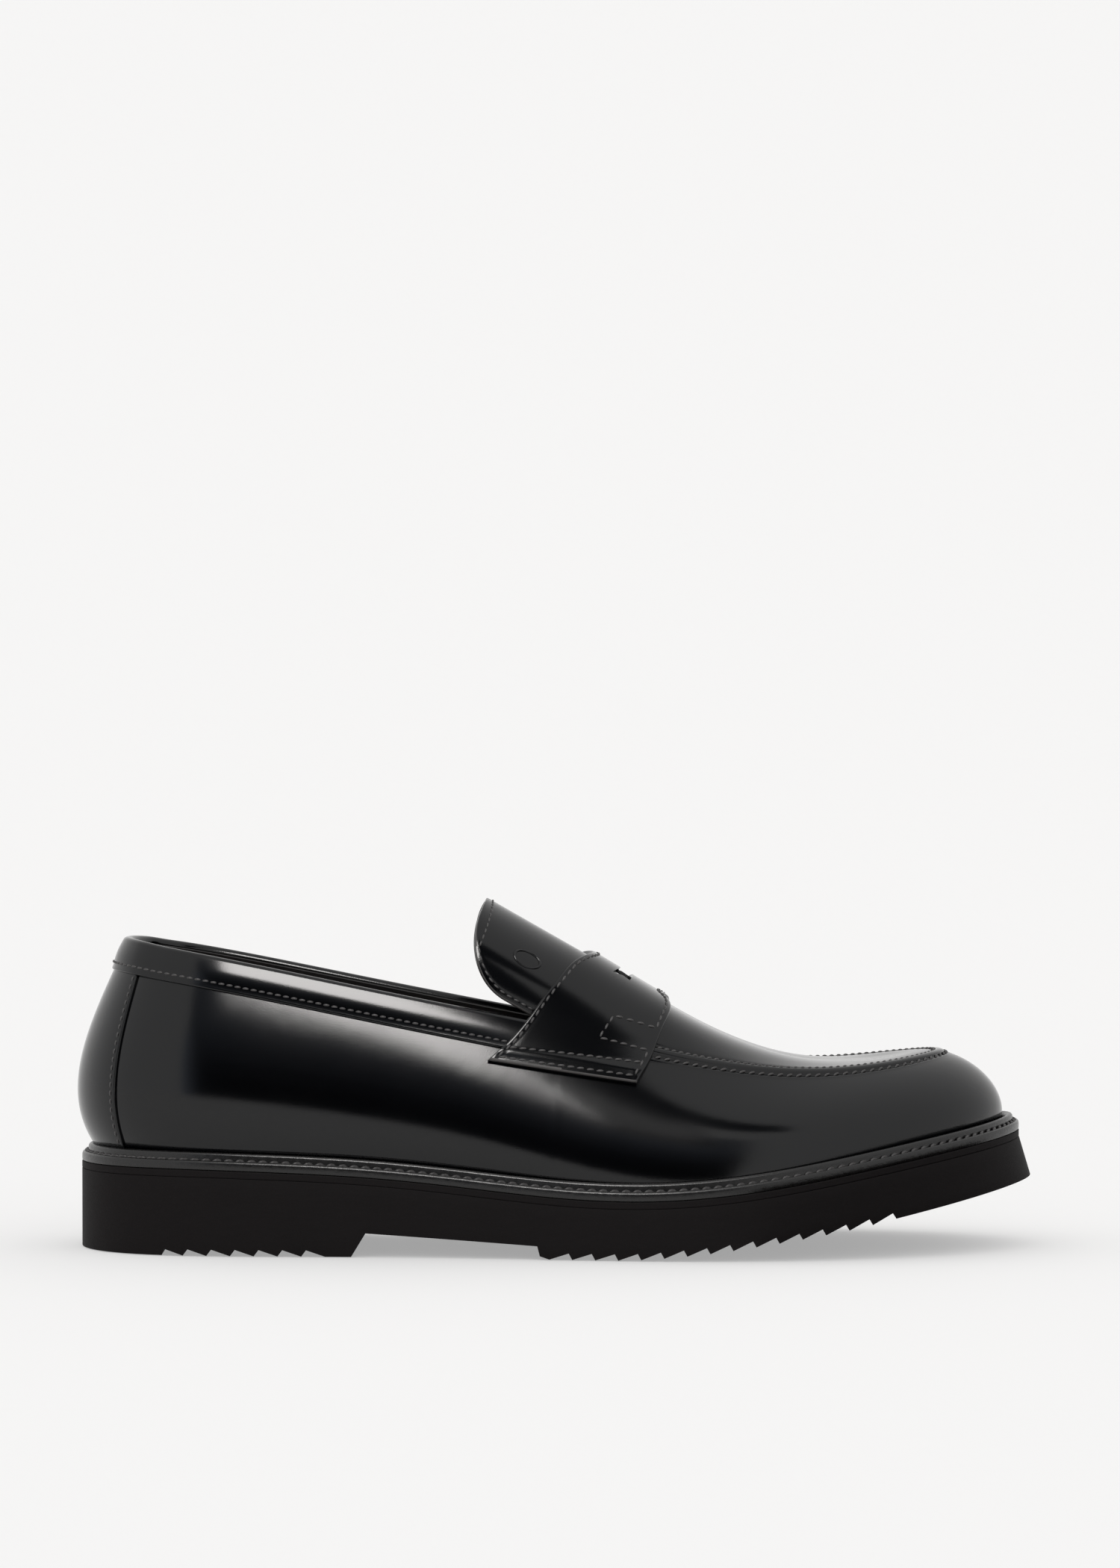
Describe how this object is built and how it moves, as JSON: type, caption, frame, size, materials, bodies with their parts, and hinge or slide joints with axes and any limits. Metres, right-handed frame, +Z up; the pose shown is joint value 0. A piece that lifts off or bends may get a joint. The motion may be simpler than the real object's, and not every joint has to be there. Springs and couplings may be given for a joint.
{
  "type": "penny loafer",
  "caption": "Right penny loafer with a sprung wedge sole, storm welt, stitched apron, slotted saddle strap and a tongue that lifts.",
  "frame": {"origin": "on the ground, below the middle of the shoe's length and width", "axes": "+X to the toe, +Y to the inner side of the foot, +Z up"},
  "size_m": [0.3058, 0.109, 0.1111],
  "materials": {
    "box_calf": "polished",
    "welt_leather": "satin",
    "lining_leather": "matte",
    "sole_foam": "matte",
    "thread": "waxed",
    "cork": "matte",
    "fibre_board": "matte",
    "shank_steel": "brushed"
  },
  "bodies": {
    "shoe": {"outsole": "sole_foam", "midsole": "sole_foam", "welt": "welt_leather", "welt_thread": "thread", "cork_filler": "cork", "shank": "shank_steel", "insole_rib": "fibre_board", "insole_board": "fibre_board", "heel_cushion": "sole_foam", "sock_lining": "lining_leather", "side_wall": "box_calf", "apron": "box_calf", "apron_thread": "thread", "saddle_strap": "box_calf", "strap_thread": "thread", "collar_band": "box_calf", "collar_thread": "thread", "backstay": "box_calf", "backstay_thread": "thread", "heel_counter": "fibre_board", "toe_puff": "fibre_board", "quarter_lining": "lining_leather", "vamp_lining": "lining_leather", "heel_grip": "lining_leather", "tongue_root": "box_calf"},
    "tongue_leaf": {"tongue": "box_calf", "tongue_lining": "lining_leather", "tongue_thread": "thread"}
  },
  "joints": [
    {"name": "tongue_lift", "type": "hinge", "parent": "shoe", "child": "tongue_leaf", "pos_m": [0.0096, 0, 0.0926], "axis": [0, 1, 0], "range_deg": [0, 20], "stiffness_Nm_per_rad": 0.05}
  ]
}
